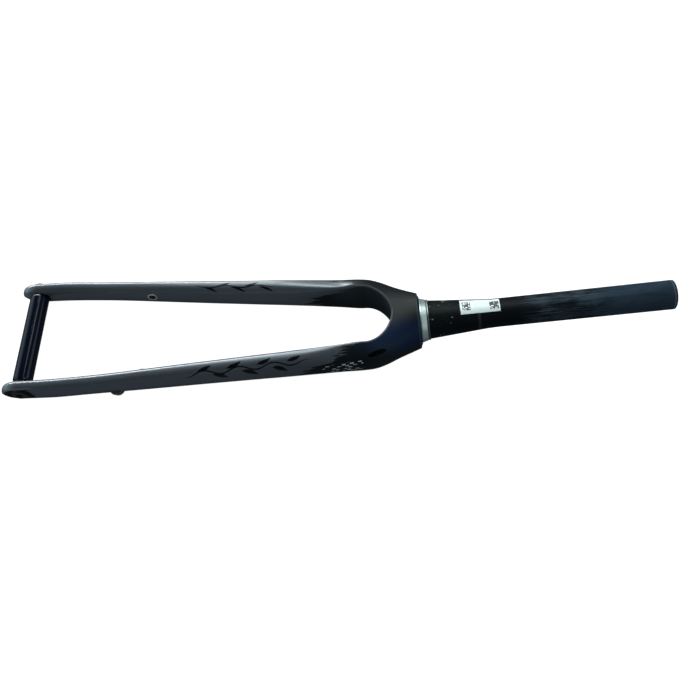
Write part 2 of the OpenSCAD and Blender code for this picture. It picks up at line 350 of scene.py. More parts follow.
cav_s = [-290, -286, -270, -240, -205, -170, -135, -105, -82, -66, -60]
cav_f = [0.45, 0.8, 1, 1, 1, 1, 1, 1, 1, 0.85, 0.5]
cut = []
tc = (np.arange(12) + 0.5) * 2 * math.pi / 12
for side in (1, -1):
    R = []
    for s, f in zip(cav_s, cav_f):
        ui, uo = float(curve(UI, s)), float(curve(UO, s))
        a, b = (uo - ui) / 2 - wall, float(curve(BL, s)) - wall
        c, sn = np.cos(tc), np.sin(tc)
        R.append(np.stack([np.full(12, s), side * ((ui + uo) / 2 + f * a * np.sign(c) * np.abs(c) ** 0.8),
                           mid_v(s) + f * b * np.sign(sn) * np.abs(sn) ** 0.8], 1))
    cut.append(loft("cav_tmp", np.array(R)))
    lo_u, hi_u = sorted((side * out_u, side * (out_u + 20)))
    cut.append(boxed("flat_tmp", (-L - 30, lo_u, 0), (-L + 12, hi_u, 90)))
    cut.append(lathe("scoop_tmp", [(0, 0), (12, 0), (12, 90), (0, 90)], (-L + 12, side * (out_u + 12), 0), (0, 0, 1), 192))
    # flat seat for the hub, running out into the blade
    P2 = [(-L - 30, hi), (-L + 9.5, hi), (-L + 24, hi - 2.1), (-L + 24, hi - 20), (-L - 30, hi - 20)]
    V2 = [(a, side * b, z) for z in (0, 90) for a, b in P2]
    c2 = new_obj("hub_tmp", V2, [(0, 1, 2, 3, 4), (9, 8, 7, 6, 5)] + [(k, (k + 1) % 5, (k + 1) % 5 + 5, k + 5) for k in range(5)])
    fix_normals(c2)
    cut.append(c2)
    cut.append(lathe("fend_tmp", [(0, -3), (5.06, -3), (5.06, 0), (3.5, 0), (3.5, 9), (0, 9)],
                     (fend_s, side * fend_u, fend_v), (0, side, 0), 96))
cut.append(lathe("cross_tmp", [(0, -out_u - 2), (8, -out_u - 2), (8, out_u + 2), (0, out_u + 2)], (-L, 0, rake), (0, 1, 0), 128))
cut.append(lathe("bore_tmp", [(0, -14), (9, -14), (14.6, -6), (16, 4), (0, 4)], (0, 0, 0), (1, 0, 0), 128))
cut.append(lathe("port_tmp", [(0, 0), (3.1, 0), (3.1, 60), (0, 60)], port_at - 40 * port_out, port_out, 96))
cut.append(lathe("exit_tmp", [(0, 0), (3.1, 0), (3.1, 30), (0, 30)], exit_at, exit_out, 96))
boolean(body, cut, "DIFFERENCE")
cut = []
for x in boss_x:
    c = lathe("hole_tmp", np.array([(0, -1), (4.0, -1), (4.0, 10), (0, 10)]), (x, -boss_u, boss_z), (0, 0, 1), 72, row=True)
    c.data.transform(Matrix.Scale(0.001, 4))
    cut.append(c)
boolean(body, cut, "DIFFERENCE")


def drop_loose(ob):
    bm = bmesh.new()
    bm.from_mesh(ob.data)
    bmesh.ops.dissolve_degenerate(bm, dist=1e-7, edges=bm.edges)
    bmesh.ops.delete(bm, geom=[v for v in bm.verts if not v.link_faces], context="VERTS")
    bm.to_mesh(ob.data)
    bm.free()


drop_loose(body)
shade(body, 30)

# ---------------------------------------------------------------- node helper


class Mat:
    def __init__(self, name):
        self.m = bpy.data.materials.new(name)
        self.m.use_nodes = True
        self.t = self.m.node_tree
        self.t.nodes.clear()
        self.out = self.t.nodes.new("ShaderNodeOutputMaterial")
        self.b = self.t.nodes.new("ShaderNodeBsdfPrincipled")
        self.t.links.new(self.b.outputs[0], self.out.inputs[0])
        self.P = self.t.nodes.new("ShaderNodeTexCoord").outputs["Object"]

    def put(self, sock, val):
        if isinstance(val, bpy.types.NodeSocket):
            self.t.links.new(val, sock)
        elif isinstance(val, (tuple, list)) and len(val) == 3 and sock.type == "RGBA":
            sock.default_value = (*val, 1)
        else:
            sock.default_value = val

    def set(self, **kw):
        for k, v in kw.items():
            self.put(self.b.inputs[k.replace("_", " ")], v)

    def f(self, op, a, b=0.0, c=0.0, clamp=False):
        n = self.t.nodes.new("ShaderNodeMath")
        n.operation = op
        n.use_clamp = clamp
        for i, v in enumerate((a, b, c)):
            self.put(n.inputs[i], v)
        return n.outputs[0]

    def add(self, a, b): return self.f("ADD", a, b)
    def sub(self, a, b): return self.f("SUBTRACT", a, b)
    def mul(self, a, b): return self.f("MULTIPLY", a, b)
    def mx(self, a, b): return self.f("MAXIMUM", a, b)
    def mn(self, a, b): return self.f("MINIMUM", a, b)

    def dot(self, vec, k, off=0.0):
        n = self.t.nodes.new("ShaderNodeVectorMath")
        n.operation = "DOT_PRODUCT"
        self.put(n.inputs[0], vec)
        n.inputs[1].default_value = k
        return self.add(n.outputs["Value"], off)

    def suv(self):
        """s, u, v in mm from the object's own coordinates."""
        k = 1000.0
        s = self.dot(self.P, (ca * k, 0, sa * k), -(T0[0] * ca + T0[2] * sa))
        u = self.dot(self.P, (0, k, 0))
        v = self.dot(self.P, (-sa * k, 0, ca * k), T0[0] * sa - T0[2] * ca)
        return s, u, v

    def vec(self, x, y, z):
        n = self.t.nodes.new("ShaderNodeCombineXYZ")
        for i, v in enumerate((x, y, z)):
            self.put(n.inputs[i], v)
        return n.outputs[0]

    def noise(self, vec, scale=1.0, detail=2.0, rough=0.5, lac=2.0, out="Fac", dist=0.0):
        n = self.t.nodes.new("ShaderNodeTexNoise")
        self.put(n.inputs["Vector"], vec)
        n.inputs["Scale"].default_value = scale
        n.inputs["Detail"].default_value = detail
        n.inputs["Roughness"].default_value = rough
        n.inputs["Lacunarity"].default_value = lac
        n.inputs["Distortion"].default_value = dist
        return n.outputs[out]

    def voronoi(self, vec, scale=1.0, feature="F1", out="Distance", rand=1.0):
        n = self.t.nodes.new("ShaderNodeTexVoronoi")
        n.feature = feature
        self.put(n.inputs["Vector"], vec)
        n.inputs["Scale"].default_value = scale
        n.inputs["Randomness"].default_value = rand
        return n.outputs[out]

    def ramp(self, x, a, b, lo=0.0, hi=1.0, smooth=True):
        n = self.t.nodes.new("ShaderNodeMapRange")
        n.interpolation_type = "SMOOTHSTEP" if smooth else "LINEAR"
        self.put(n.inputs["Value"], x)
        for k, v in (("From Min", a), ("From Max", b), ("To Min", lo), ("To Max", hi)):
            self.put(n.inputs[k], v)
        return n.outputs["Result"]

    def win(self, x, a, b, soft):
        """1 between a and b."""
        return self.mul(self.ramp(x, a - soft, a + soft), self.ramp(x, b + soft, b - soft))

    def mix(self, fac, a, b):
        n = self.t.nodes.new("ShaderNodeMix")
        n.data_type = "RGBA"
        self.put(n.inputs[0], fac)
        self.put(n.inputs[6], a)
        self.put(n.inputs[7], b)
        return n.outputs[2]

    def mixf(self, fac, a, b):
        n = self.t.nodes.new("ShaderNodeMix")
        n.data_type = "FLOAT"
        self.put(n.inputs[0], fac)
        self.put(n.inputs[2], a)
        self.put(n.inputs[3], b)
        return n.outputs[0]

    def attr(self, name):
        n = self.t.nodes.new("ShaderNodeAttribute")
        n.attribute_name = name
        return n.outputs["Fac"]

    def bump(self, height, dist, strength=1.0, normal=None):
        n = self.t.nodes.new("ShaderNodeBump")
        self.put(n.inputs["Height"], height)
        n.inputs["Distance"].default_value = dist
        n.inputs["Strength"].default_value = strength
        if normal is not None:
            self.put(n.inputs["Normal"], normal)
        return n.outputs[0]


def attribute(ob, name, values):
    at = ob.data.attributes.get(name) or ob.data.attributes.new(name, "FLOAT", "POINT")
    at.data.foreach_set("value", np.asarray(values, np.float32))


def points(ob):
    co = np.zeros(len(ob.data.vertices) * 3)
    ob.data.vertices.foreach_get("co", co)
    return co.reshape(-1, 3)


# the way round each blade from the middle of its front, in mm, for the paint
S = unlay(points(body))
ss, uu, vv = S[:, 0], S[:, 1], S[:, 2]
uc = (curve(UI, ss) + curve(UO, ss)) / 2
hw = (curve(UO, ss) - curve(UI, ss)) / 2
hd = curve(BL, ss)
ang = np.arctan2((np.abs(uu) - uc) / hw, (vv - mid_v(ss)) / hd)   # 0 front, + outwards, back at the seam
attribute(body, "around", ang * (hw + hd) / 2)
# how near a point of the front is to the arch's edge, for a painted highlight line along the arch's rim
ap = np.array([arch_pt(a) for a in np.linspace(0, 90, 240)])
ap = np.concatenate([np.stack([np.linspace(-110, arch_s, 60), curve(UI, np.linspace(-110, arch_s, 60))], 1), ap])
dl = np.full(len(ss), 99.0)
near = np.where((ss > -108) & (vv > mid_v(ss)))[0]
for k in near:
    dl[k] = np.sqrt(((ap - (ss[k], abs(uu[k]))) ** 2).sum(1).min())
attribute(body, "arch_rim_highlight", np.exp(-((dl - 0.9) / 1.0) ** 2) * ease(-100, -62, ss))

# ---------------------------------------------------------------- materials
SLATE, BLACK = (0.142, 0.160, 0.174), (0.0035, 0.0055, 0.0062)


def paint():
    m = Mat("satin_slate_paint")
    s, u, v = m.suv()
    t = m.attr("around")
    sv = m.vec(m.mul(s, 0.016), m.mul(u, 0.34), m.mul(v, 0.34))
    rag = m.noise(sv, 1.0, 5.0, 0.62)
    rag2 = m.noise(m.vec(m.mul(s, 0.06), m.mul(u, 1.2), m.mul(v, 1.2)), 1.0, 3.0, 0.6)
    leftside = m.ramp(u, 0.5, -0.5)
    # where the slate gives way to the crown's black, measured along each blade
    edge_r = m.add(-66, m.mul(m.ramp(v, 28, 8), -44))
    edge_l = m.add(-70, m.mul(m.ramp(v, 27, 14), -45))
    edge = m.mixf(leftside, edge_r, edge_l)
    jag = m.add(m.mul(m.sub(rag, 0.5), 62), m.mul(m.sub(rag2, 0.5), 26))
    black = m.ramp(m.sub(m.add(s, jag), edge), -0.9, 0.9)
    # generic ornament: a thin stem with pointed leaves on both sides
    env = m.mixf(leftside, m.win(s, -222, -150, 9), m.win(s, -226, -114, 12))
    tc_ = m.mixf(leftside, -2.5, 8.5)
    k_ = m.mixf(leftside, 0.62, 1.0)
    wave = m.mul(m.f("SINE", m.mul(m.add(s, 170), 2 * math.pi / 34)), m.mul(k_, 2.6))
    y0 = m.sub(m.sub(t, tc_), wave)
    stem = m.ramp(m.sub(m.f("ABSOLUTE", y0), m.mul(env, 0.85)), 0.2, -0.2)
    art = m.mul(stem, m.ramp(env, 0.02, 0.2))
    for k in range(7):
        sk = -216 + 14.5 * k
        up = 1 if k % 2 else -1
        on = 1.0 if k < 5 else leftside
        ln = 8.4 - 0.35 * abs(k - 3)
        x0, yk = m.sub(s, sk + 4.6), m.sub(m.sub(t, tc_), m.mul(k_, up * 4.6))
        c_, s_a = math.cos(math.radians(24 * up)), math.sin(math.radians(24 * up))
        xr = m.add(m.mul(x0, c_), m.mul(yk, s_a))
        yr = m.sub(m.mul(yk, c_), m.mul(x0, s_a))
        body_ = m.mul(m.sub(1, m.mul(m.mul(xr, xr), 1 / ln ** 2)), m.mul(k_, 2.5))
        leaf = m.ramp(m.sub(m.f("ABSOLUTE", m.sub(yr, m.mul(m.mul(xr, xr), 0.018 * up))), body_), 0.2, -0.2)
        art = m.mx(art, m.mul(leaf, on))
    # paint flecks and scratches on the left shoulder
    wob = m.sub(m.noise(m.vec(m.mul(s, 0.12), m.mul(v, 0.3), 5.0), 1.0, 2.0, 0.5), 0.5)
    row_ = m.f("FLOOR", m.add(m.mul(v, 0.42), m.mul(wob, 1.6)))
    col_ = m.add(m.mul(s, 0.125), m.mul(row_, 0.37))
    wn = m.t.nodes.new("ShaderNodeTexWhiteNoise")
    wn.noise_dimensions = "3D"
    m.put(wn.inputs["Vector"], m.vec(m.f("FLOOR", col_), row_, 4.0))
    dash = m.mul(m.win(m.f("FRACT", col_), 0.24, 0.70, 0.05), m.win(m.f("FRACT", m.add(m.mul(v, 0.42), m.mul(wob, 1.6))), 0.22, 0.74, 0.09))
    dash = m.mul(dash, m.f("GREATER_THAN", wn.outputs["Value"], 0.36))
    fleck = m.mul(dash, m.mul(m.win(m.add(s, m.mul(wob, 12)), -98, -60, 1.0), m.mul(m.win(v, 1, 17, 0.6), m.ramp(u, -42, -45))))
    fine = m.noise(m.P, 900, 3, 0.6)
    broad = m.noise(m.P, 14, 3, 0.6)
    col = m.mix(m.mul(broad, 0.5), SLATE, (0.104, 0.128, 0.150))
    col = m.mix(m.mul(m.ramp(fine, 0.62, 0.8), 0.22), col, (0.21, 0.23, 0.245))
    # painted reflection: a navy-blue patch low on the crown's left shoulder stands in for reflected blue sky
    rr_ = m.f("SQRT", m.add(m.mul(u, u), m.mul(v, v)))
    crown = m.mix(m.mul(m.mul(m.mul(m.ramp(u, -4, -24), m.ramp(u, -47, -32)), m.ramp(v, -2, 10)), m.ramp(s, -78, -46)), BLACK, (0.0001, 0.0105, 0.038))
    arch_rim_highlight = m.attr("arch_rim_highlight")
    # painted highlight: a lighter line along the arch's front rim
    crown = m.mix(m.mul(arch_rim_highlight, 0.75), crown, (0.060, 0.078, 0.092))
    # painted highlight: a thin lighter blue line on the fillet at the crown's top edge
    crown_edge_highlight = m.mul(m.win(s, -2.5, -1.25, 0.25), m.ramp(rr_, 25.4, 26.2))
    crown = m.mix(m.mul(crown_edge_highlight, 0.8), crown, (0.035, 0.052, 0.085))
    # painted shade: the collar's top under the race is made near black for the dark gap between crown and race
    crown = m.mix(m.mul(m.ramp(s, -1.5, -1.2), m.ramp(rr_, 26.9, 26.5)), crown, (0.0005, 0.0006, 0.0008))
    col = m.mix(art, col, (0.0035, 0.0038, 0.0045))
    col = m.mix(black, col, crown)
    col = m.mix(m.mul(fleck, 0.95), col, (0.60, 0.65, 0.68))
    # bare rims of the dropouts, lightened further as painted highlight, with painted highlight over the tips
    wear_and_tip_highlight = m.mul(m.mul(m.ramp(s, -L + 22, -L + 6), m.win(m.f("ABSOLUTE", u), out_u - 2.2, out_u - 1.5, 0.35)), 0.5)
    wear_and_tip_highlight = m.mx(wear_and_tip_highlight, m.mul(m.ramp(m.add(s, m.mul(m.sub(rag, 0.5), 14)), -L - 5, -L - 15), 0.6))
    col = m.mix(wear_and_tip_highlight, col, (0.42, 0.50, 0.55))
    nose = m.mul(m.ramp(m.f("ABSOLUTE", u), out_u - 1.5, out_u - 0.9), m.ramp(s, -L + 14, -L + 9))
    col = m.mix(nose, col, (0.0012, 0.0014, 0.0018))
    rough = m.mixf(black, 0.29, 0.50)
    rough = m.mixf(art, rough, 0.24)
    rough = m.mixf(m.mul(arch_rim_highlight, black), rough, 0.34)
    rough = m.add(rough, m.mul(m.sub(broad, 0.5), 0.08))
    metal = m.mul(0.62, m.mul(m.mul(m.sub(1, nose), m.sub(1, black)), m.sub(1, art)))
    m.set(Base_Color=col, Roughness=rough, Metallic=metal)
    m.b.inputs["IOR"].default_value = 1.5
    m.b.inputs["Specular IOR Level"].default_value = 0.2
    peel = m.noise(m.P, 260, 2, 0.5)
    nb = m.bump(peel, 0.00006, 0.35)
    m.set(Normal=m.bump(m.mx(art, black), 0.00004, 0.5, nb))
    return m.m


def carbon():
    m = Mat("raw_carbon_steerer")
    s, u, v = m.suv()
    # lengthwise streaks: noise stretched along the steerer
    an = m.f("ARCTAN2", u, v)
    streak = m.noise(m.vec(m.mul(s, 0.02), m.mul(u, 1.3), m.mul(v, 1.3)), 1.0, 5.0, 0.65)
    fine = m.noise(m.vec(m.mul(s, 0.09), m.mul(u, 5.0), m.mul(v, 5.0)), 1.0, 4.0, 0.7)
    cloud = m.noise(m.vec(m.mul(s, 0.05), m.mul(u, 0.12), m.mul(v, 0.12)), 1.0, 3.0, 0.55)
    grey = m.ramp(m.add(s, m.mul(m.sub(streak, 0.5), 60)), 96, 122)
    far = m.ramp(s, 165, 190)
    scratch = m.mul(m.ramp(fine, 0.56, 0.70), m.ramp(cloud, 0.42, 0.58))
    col = m.mix(m.mul(grey, m.ramp(m.add(m.mul(streak, 0.6), m.mul(cloud, 0.4)), 0.40, 0.62)), (0.0015, 0.0035, 0.0045), (0.031, 0.050, 0.070))
    zone = m.win(m.add(s, m.mul(m.sub(cloud, 0.5), 40)), 108, 172, 10)
    col = m.mix(m.mul(m.mul(scratch, zone), 0.75), col, (0.13, 0.175, 0.19))
    col = m.mix(m.mul(far, m.ramp(fine, 0.3, 0.75, 0.45, 0.95)), col, (0.023, 0.043, 0.067))
    specks = m.ramp(m.voronoi(m.vec(m.mul(s, 0.16), m.mul(u, 0.24), m.mul(v, 0.24))), 0.15, 0.09)
    spk = m.mul(specks, m.mul(m.win(s, 6, 36, 2), m.ramp(m.noise(m.P, 90, 1), 0.48, 0.58)))
    col = m.mix(m.mul(m.mul(m.ramp(fine, 0.56, 0.68), m.win(s, 7, 34, 3)), 0.22), col, (0.10, 0.12, 0.125))
    col = m.mix(m.mul(spk, 0.8), col, (0.42, 0.44, 0.44))
    # a scuff near the race and a faint lighter line near the upper end
    patch = m.noise(m.vec(m.mul(s, 0.30), m.mul(u, 0.5), m.mul(v, 0.5)), 1.0, 3.0, 0.6)
    patch = m.add(m.mul(patch, 0.65), m.mul(fine, 0.35))
    scuff = m.mul(m.mul(m.win(s, 20.8, 27.6, 2.2), m.ramp(u, 10.5, 14.0)), m.mul(m.win(v, 5.0, 14.0, 2.5), m.ramp(patch, 0.44, 0.50)))
    col = m.mix(m.mul(scuff, 0.75), col, (0.32, 0.34, 0.33))
    # a lighter line just below the upper end, and darker at the cut edge
    col = m.mix(m.mul(m.win(s, 240.0, 241.2, 0.3), 0.5), col, (0.13, 0.17, 0.20))
    col = m.mix(m.ramp(s, 241.6, 242.2), col, (0.006, 0.009, 0.013))
    band = m.mul(m.win(s, 56.0, 58.6, 0.4), 0.35)
    col = m.mix(band, col, (0.08, 0.055, 0.06))
    rough = m.mixf(grey, 0.5, m.mixf(streak, 0.42, 0.58))
    m.set(Base_Color=col, Roughness=rough)
    m.b.inputs["Specular IOR Level"].default_value = 0.10
    h = m.add(m.mul(streak, 0.6), m.mul(fine, 0.5))
    m.set(Normal=m.bump(h, 0.00012, m_strength(m)))
    return m.m


def m_strength(m):
    return 0.35


def bare():
    m = Mat("bare_black_carbon")
    n = m.noise(m.P, 420, 3, 0.6)
    m.set(Base_Color=m.mix(n, (0.0015, 0.0017, 0.002), (0.006, 0.0065, 0.0075)),
          Roughness=m.ramp(n, 0.2, 0.8, 0.38, 0.6), Normal=m.bump(n, 0.00005, 0.3))
    m.b.inputs["Specular IOR Level"].default_value = 0.06
    return m.m


def turned_metal():
    m = Mat("turned_aluminium")
    s, u, v = m.suv()
    r = m.f("SQRT", m.add(m.mul(u, u), m.mul(v, v)))
    groove = m.noise(m.vec(m.mul(s, 9.0), m.mul(r, 9.0), 0.0), 1.0, 4.0, 0.7)
    spot = m.noise(m.P, 190, 3, 0.6)
    an = m.f("ARCTAN2", u, v)
    tone = m.noise(m.vec(m.mul(an, 1.6), m.mul(s, 0.12), 0.0), 1.0, 2.0, 0.5)
    col = m.mix(tone, (0.50, 0.59, 0.57), (0.66, 0.76, 0.73))
    col = m.mix(m.win(s, 6.2, 6.95, 0.15), col, (0.012, 0.015, 0.015))       # painted shade: groove made near black
    col = m.mix(m.ramp(s, 6.9, 7.2), col, (0.20, 0.25, 0.24))                 # darker ring beyond the groove
    # darker back edge of the ring
    col = m.mix(m.ramp(s, 7.9, 8.2), col, (0.02, 0.025, 0.025))
    m.set(Base_Color=col,
          Roughness=m.ramp(spot, 0.3, 0.75, 0.40, 0.44), Normal=m.bump(groove, 0.00002, 0.2))
    m.b.inputs["Metallic"].default_value = 0.85
    return m.m


def black_ano(name, lo, hi2, rough, coat=0.0):
    m = Mat(name)
    n = m.noise(m.P, 500, 3, 0.6)
    g = m.noise(m.vec(m.dot(m.P, (800, 0, 0)), m.dot(m.P, (0, 60, 0)), m.dot(m.P, (0, 0, 800))), 1.0, 3, 0.6)
    m.set(Base_Color=m.mix(n, lo, hi2), Roughness=m.ramp(g, 0.25, 0.75, rough - 0.05, rough + 0.07),
          Normal=m.bump(g, 0.00002, 0.15))
    if coat:
        m.b.inputs["Coat Weight"].default_value = coat
        m.b.inputs["Coat Roughness"].default_value = 0.08
    return m.m


def plain_metal():
    m = Mat("machined_insert")
    n = m.noise(m.P, 900, 3, 0.6)
    m.set(Base_Color=m.mix(n, (0.66, 0.69, 0.70), (0.86, 0.88, 0.88)), Roughness=m.ramp(n, 0.2, 0.8, 0.25, 0.42),
          Normal=m.bump(n, 0.00003, 0.3))
    m.b.inputs["Metallic"].default_value = 0.55
    return m.m


def rubber():
    m = Mat("matte_rubber")
    n = m.noise(m.P, 1200, 3, 0.6)
    m.set(Base_Color=m.mix(n, (0.002, 0.002, 0.0024), (0.007, 0.007, 0.0078)), Roughness=m.ramp(n, 0.2, 0.8, 0.7, 0.9),
          Normal=m.bump(n, 0.00004, 0.4))
    m.b.inputs["Specular IOR Level"].default_value = 0.06
    return m.m


def label():
    m = Mat("white_film_label")
    a, b = m.attr("la"), m.attr("lb")          # mm along and round the label
    n = m.noise(m.P, 1500, 2, 0.5)
    white = m.mix(n, (0.70, 0.80, 0.78), (0.80, 0.90, 0.87))

    def block(a0, a1, b0, b1, cell, seed):
        inside = m.mul(m.win(a, a0, a1, 0.05), m.win(b, b0, b1, 0.05))
        w = m.t.nodes.new("ShaderNodeTexWhiteNoise")
        w.noise_dimensions = "3D"
        fa = m.f("FLOOR", m.mul(a, 1 / cell))
        fb = m.f("FLOOR", m.mul(b, 1 / cell))
        m.put(w.inputs["Vector"], m.vec(fa, fb, seed))
        return m.mul(inside, m.f("GREATER_THAN", w.outputs["Value"], 0.26))

    ink = m.mx(block(1.8, 9.8, 3.6, 13.0, 1.15, 1.0), block(28.6, 37.4, 3.0, 13.0, 1.2, 5.0))
    lines = m.mul(m.win(m.f("FRACT", m.mul(b, 0.42)), 0.34, 0.52, 0.05), m.mul(m.win(a, 13.5, 27.5, 0.1), m.win(b, 3.5, 13.0, 0.2)))
    brk = m.ramp(m.noise(m.vec(m.mul(a, 1.3), m.f("FLOOR", m.mul(b, 0.42)), 0.0), 1.0, 1.0), 0.40, 0.46)
    col = m.mix(m.mul(m.mul(lines, brk), 0.4), white, (0.16, 0.2, 0.2))
    col = m.mix(m.mul(ink, 0.96), col, (0.012, 0.014, 0.015))
    edge = m.mx(m.ramp(m.f("MINIMUM", m.sub(b, 0.0), m.sub(17.0, b)), 0.9, 0.2), 0.0)
    dirt = m.mul(edge, m.ramp(m.noise(m.P, 620, 2, 0.6), 0.55, 0.62))
    col = m.mix(dirt, col, (0.02, 0.022, 0.022))
    m.set(Base_Color=col, Roughness=m.ramp(n, 0.2, 0.8, 0.34, 0.46), Normal=m.bump(n, 0.00002, 0.2))
    return m.m


M_PAINT, M_CARBON, M_BARE = paint(), carbon(), bare()
M_METAL, M_INSERT, M_RUBBER, M_LABEL = turned_metal(), plain_metal(), rubber(), label()
M_AXLE = black_ano("anodised_black", (0.004, 0.0045, 0.0052), (0.011, 0.012, 0.0135), 0.36)
M_SPACER = black_ano("gloss_black_tube", (0.0008, 0.0024, 0.009), (0.0016, 0.005, 0.018), 0.15)


def give(ob, *mats):
    ob.data.materials.clear()
    for x in mats:
        ob.data.materials.append(x)


# faces of the carbon body: 0 paint, 1 bare
give(body, M_PAINT, M_BARE)
nf = len(body.data.polygons)
cen, nor = np.zeros(nf * 3), np.zeros(nf * 3)
body.data.polygons.foreach_get("center", cen)
body.data.polygons.foreach_get("normal", nor)
cen, nor = unlay(cen.reshape(-1, 3)), nor.reshape(-1, 3) @ A
s_, u_, v_ = cen.T
rad = np.hypot(u_, v_)
idx = np.zeros(nf, np.int32)
idx[(s_ > -14.2) & (rad < 16.5)] = 1
au, out = np.abs(u_), nor[:, 1] * np.sign(u_)
idx[(s_ < -L + 12.5) & (np.abs(au - out_u) < 0.02) & (out > 0.98)] = 1
idx[(np.hypot(s_ + L, v_ - rake) < 8.05)] = 1
ucf, hwf, hdf = (curve(UI, s_) + curve(UO, s_)) / 2, (curve(UO, s_) - curve(UI, s_)) / 2, curve(BL, s_)
deep = ((np.abs(au - ucf) / hwf) ** 2 + (np.abs(v_ - mid_v(s_)) / hdf) ** 2) < 0.80
idx[deep & (s_ > -291) & (s_ < -59.5) & (nor[:, 1] * (u_ - np.sign(u_) * ucf) + nor[:, 2] * (v_ - mid_v(s_)) < 0)] = 1
for at, ax, ln in ((port_at - 40 * port_out, port_out, 60), (exit_at, exit_out, 30)):
    d = cen - at
    al = d @ ax
    rv = d - al[:, None] * ax
    idx[(np.linalg.norm(rv, axis=1) < 3.15) & (al > 0) & (al < ln) & (np.einsum("ij,ij->i", rv, nor) < -0.5 * np.linalg.norm(rv, axis=1))] = 1
body.data.polygons.foreach_set("material_index", idx)
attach(body, "root")
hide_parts(*[n for n in ("crown_right", "crown_left", "blade_right", "blade_left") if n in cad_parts])

# ---------------------------------------------------------------- tapered steerer, with a softened shoulder where the taper ends
r61 = 19.4 - 5.1 * (61 - 8.6) / 61.4
prof = [(15.44, 0), (19.9, 0), (19.9, 7.4), (19.4, 8.6)]
prof += [(19.4 - 5.1 * (s - 8.6) / 61.4, s) for s in np.linspace(14, 60, 12)]
prof += [(14.3 + (r61 - 14.3) * (1 - (s - 61) / 18) ** 2, s) for s in np.linspace(61, 79, 13)]
prof += [(14.3, s) for s in np.linspace(90, 240, 16)]
prof += [(14.3, 242.2), (14.24, 242.5), (14.08, 242.78), (13.85, 242.95), (13.5, 243), (11.9, 243), (11.6, 242.9), (11.43, 242.6), (11.4, 242)]
prof += [(11.4, s) for s in np.linspace(230, 80, 11)]
prof += [(11.4, 68), (16, 12), (16, 4)]
steer = lathe("steerer", prof, (0, 0, 0), (1, 0, 0), 160)
shade(steer, 34)
give(steer, M_CARBON, M_BARE)
nf = len(steer.data.polygons)
cen = np.zeros(nf * 3)
steer.data.polygons.foreach_get("center", cen)
cen = unlay(cen.reshape(-1, 3))
ro = np.hypot(cen[:, 1], cen[:, 2])
steer.data.polygons.foreach_set("material_index", ((ro < 11.45) | ((ro < 16.1) & (cen[:, 0] < 67.9) & (ro < 19.4 - 5.1 * (cen[:, 0] - 8.6) / 61.4 - 1))).astype(np.int32))
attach(steer, "root")
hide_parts(*[n for n in ("steerer_tube", "fork_body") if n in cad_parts])

# ---------------------------------------------------------------- crown race
r0 = 19.9
race_prof = rounded([(r0, 0), (22.2, 0), (22.2, 1.1), (21.9, 1.5), (20.6, 6.0), (20.2, 6.3), (20.2, 7.0), (20.5, 7.2),
                     (20.5, 8.1), (20.2, 8.4), (r0, 8.4)], {1: 0.15, 2: 0.25, 3: 0.3, 4: 0.2, 5: 0.15, 6: 0.15, 7: 0.1, 8: 0.1, 9: 0.12}, 5)
race = lathe("race_ring", race_prof, (0, 0, 0), (1, 0, 0), 192)
shade(race, 34)
give(race, M_METAL)
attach(race, "root")
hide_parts("crown_race")

# ---------------------------------------------------------------- tube on the axle
sr, si_ = 9.25, 6.05
tube_prof = rounded([(si_, -hi), (sr - 2, -hi), (sr - 0.7, -hi + 1.1), (sr, -hi + 2.6), (sr, hi - 2.6), (sr - 0.7, hi - 1.1),
                     (sr - 2, hi), (si_, hi)], {1: 0.3, 2: 0.8, 3: 1.6, 4: 1.6, 5: 0.8, 6: 0.3}, 5)
tube = lathe("axle_tube", tube_prof, (-L, 0, rake), (0, 1, 0), 160)
shade(tube, 34)
give(tube, M_SPACER)
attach(tube, "root")
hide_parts("axle_spacer")

# ---------------------------------------------------------------- mudguard inserts, with a dished mouth and a thread
for side, node in ((1, "fender_insert_right"), (-1, "fender_insert_left")):
    pr = [(3.45, 7.4), (3.45, 0.0), (4.95, 0.0), (5.0, -0.1), (5.0, -0.55), (4.8, -0.8), (4.1, -0.86), (3.75, -0.8), (2.55, 0.35), (2.1, 0.75)]
    z = 0.95
    while z < 6.2:
        pr += [(2.1, z), (2.42, z + 0.3), (2.42, z + 0.42), (2.1, z + 0.7)]
        z += 0.8
    pr += [(2.1, 6.6), (1.9, 6.8), (0, 6.8), (0, 7.4)]
    o = lathe("ring_insert_" + ("right" if side > 0 else "left"), pr, (fend_s, side * fend_u, fend_v), (0, side, 0), 96)
    shade(o, 34)
    give(o, M_INSERT, M_AXLE)
    po = unlay(points(o))
    ri = np.hypot(po[:, 0] - fend_s, po[:, 2] - fend_v)
    # painted shade: faces inside the insert's bore get the black anodised finish for the dark hole
    for f in o.data.polygons:
        if ri[list(f.vertices)].max() < 3.76 or (ri[list(f.vertices)].max() < 3.8 and abs(f.normal.y) < 0.5):
            f.material_index = 1
    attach(o, "root")
    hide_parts(node)

# ---------------------------------------------------------------- label
t_lab, s0, s1 = 0.12, 39.5, 78.0
lab_w = 17.0
rr = lambda s: 19.4 - 5.1 * (s - 8.6) / 61.4 if s < 61 else (14.3 + (19.4 - 5.1 * (61 - 8.6) / 61.4 - 14.3) * max(1 - (s - 61) / 18, 0) ** 2)
r_mean = (rr(s0) + 14.3) / 2
span = lab_w / r_mean
mid_a = math.radians(7.3)       # its middle is turned this far from the front towards the right
na, nb_ = 84, 40
V, la, lb, F = [], [], [], []
for layer in (0, 1):
    for i in range(na + 1):
        s = s0 + (s1 - s0) * i / na
        for j in range(nb_ + 1):
            a_ = -span / 2 + span * j / nb_
            r = rr(s) + (t_lab if layer else -0.02)
            V.append((s, r * math.sin(mid_a + a_), r * math.cos(mid_a + a_)))
            la.append(s - s0)
            lb.append(lab_w * j / nb_)
m_ = (na + 1) * (nb_ + 1)
